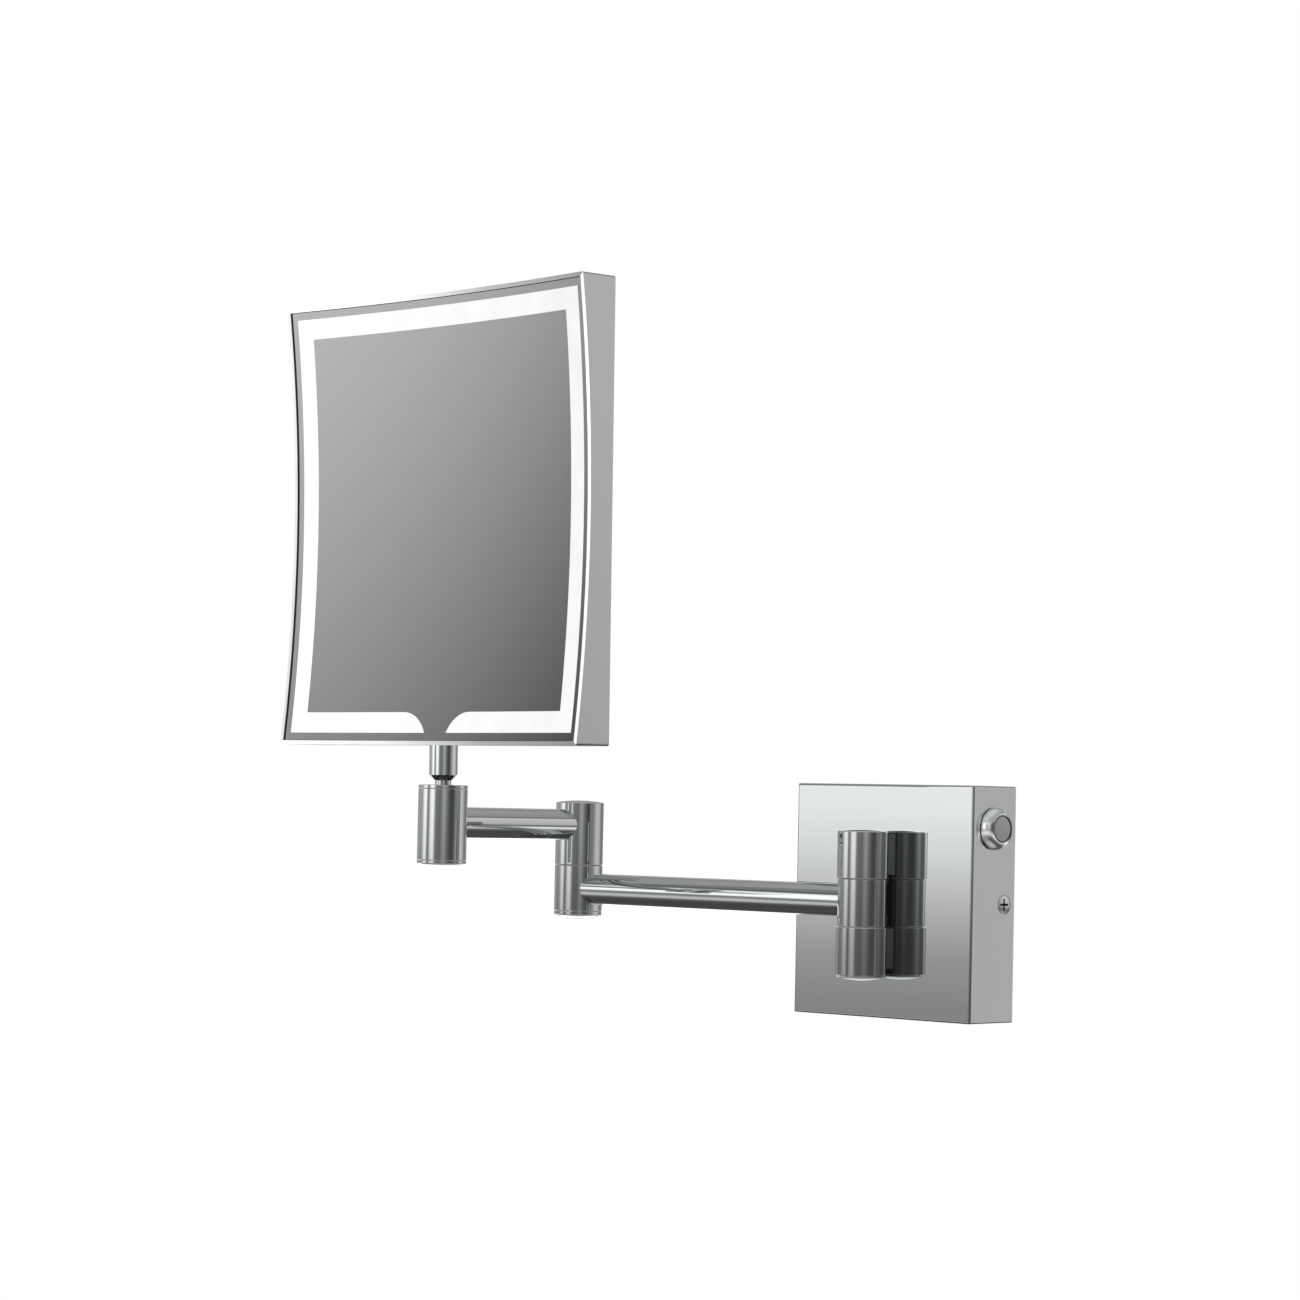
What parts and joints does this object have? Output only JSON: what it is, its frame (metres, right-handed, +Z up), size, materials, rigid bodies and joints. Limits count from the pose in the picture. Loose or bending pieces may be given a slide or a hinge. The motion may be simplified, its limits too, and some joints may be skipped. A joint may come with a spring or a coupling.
{
  "type": "extendable shaving mirror",
  "caption": "Square lit concave mirror on a ball joint, held out from a square wall box by two tubular arms on vertical hinges.",
  "frame": {"origin": "centre of the wall box on the wall plane", "axes": "+X to the right, -Y out of the wall into the room, +Z up"},
  "size_m": [0.3295, 0.1426, 0.3145],
  "materials": {
    "chrome": "polished chrome plate",
    "steel": "zinc-plated or turned steel",
    "screw_steel": "bright screw steel",
    "spring_steel": "dark oiled spring steel",
    "button_metal": "satin grey",
    "mirror": "silvered concave glass",
    "lit_glass": "etched clear band of the mirror glass, lit from behind",
    "opal": "opal acrylic",
    "nylon": "natural nylon",
    "rubber": "soft black rubber",
    "white_plastic": "moulded white",
    "black_plastic": "moulded black",
    "circuit_board": "white solder mask",
    "led": "phosphor",
    "brass": "plated",
    "lead_sheath": "thin two-core lead",
    "wire_sheath": "single wires"
  },
  "bodies": {
    "wall_unit": {"mounting_plate": "steel", "cable_grommet": "rubber", "terminal_block": "white_plastic", "terminal_screws": "brass", "led_driver": "white_plastic", "driver_screws": "steel", "internal_wires": "wire_sheath", "cover": "chrome", "side_screws": "screw_steel", "switch_bezel": "chrome", "switch_seal": "rubber", "switch_nut": "screw_steel", "switch_body": "black_plastic", "switch_terminals": "brass", "switch_spring": "spring_steel", "backing_plate": "steel", "lug_screws": "screw_steel", "upper_lug": "chrome", "lower_lug": "chrome", "wall_pin": "steel", "wall_washers": "nylon", "pin_cap": "chrome", "lead_wall": "lead_sheath"},
    "button": {"switch_button": "button_metal"},
    "arm1": {"arm1_barrel": "chrome", "arm1_tube": "chrome", "elbow_lower": "chrome", "elbow_cap": "chrome", "lead_arm1": "lead_sheath"},
    "arm2": {"elbow_upper": "chrome", "elbow_pin": "steel", "elbow_nut": "screw_steel", "elbow_springs": "spring_steel", "elbow_washer": "nylon", "arm2_tube": "chrome", "socket_barrel": "chrome", "socket_collar": "chrome", "pressure_cup": "nylon", "cup_springs": "spring_steel", "socket_plug": "chrome", "lead_arm2": "lead_sheath"},
    "pan_seat": {"ball_seat": "nylon"},
    "lean_bush": {"lead_bush": "nylon"},
    "head": {"ball": "steel", "stem": "chrome", "stem_screw": "screw_steel", "head_frame": "chrome", "mirror_glass": "mirror", "light_window": "lit_glass", "glass_seal": "rubber", "diffuser": "opal", "led_boards": "circuit_board", "led_chips": "led", "led_tray": "white_plastic", "back_cover": "chrome", "back_screws": "screw_steel", "lead_head": "lead_sheath"}
  },
  "joints": [
    {"name": "button_press", "type": "slide", "parent": "wall_unit", "child": "button", "axis": [1, 0, 0], "range_m": [-0.002, 0], "stiffness_N_per_m": 800, "springref_m": 0.0025, "deforming": ["switch_spring"]},
    {"name": "wall_hinge", "type": "hinge", "parent": "wall_unit", "child": "arm1", "pos_m": [0, -0.0407, 0], "axis": [0, 0, 1], "range_deg": [-4, 184]},
    {"name": "elbow_hinge", "type": "hinge", "parent": "arm1", "child": "arm2", "pos_m": [-0.174, -0.0407, 0], "axis": [0, 0, 1], "range_deg": [-265, 85]},
    {"name": "head_pan", "type": "hinge", "parent": "arm2", "child": "pan_seat", "pos_m": [-0.174, -0.1253, 0.037], "axis": [0, 0, 1], "range_deg": [-165, 165]},
    {"name": "head_lean", "type": "hinge", "parent": "pan_seat", "child": "lean_bush", "pos_m": [-0.174, -0.1253, 0.037], "axis": [0.0209, 0.9998, 0], "range_deg": [-9, 9]},
    {"name": "head_tilt", "type": "hinge", "parent": "lean_bush", "child": "head", "pos_m": [-0.174, -0.1253, 0.037], "axis": [0.9998, -0.0209, 0], "range_deg": [-18, 18]}
  ]
}
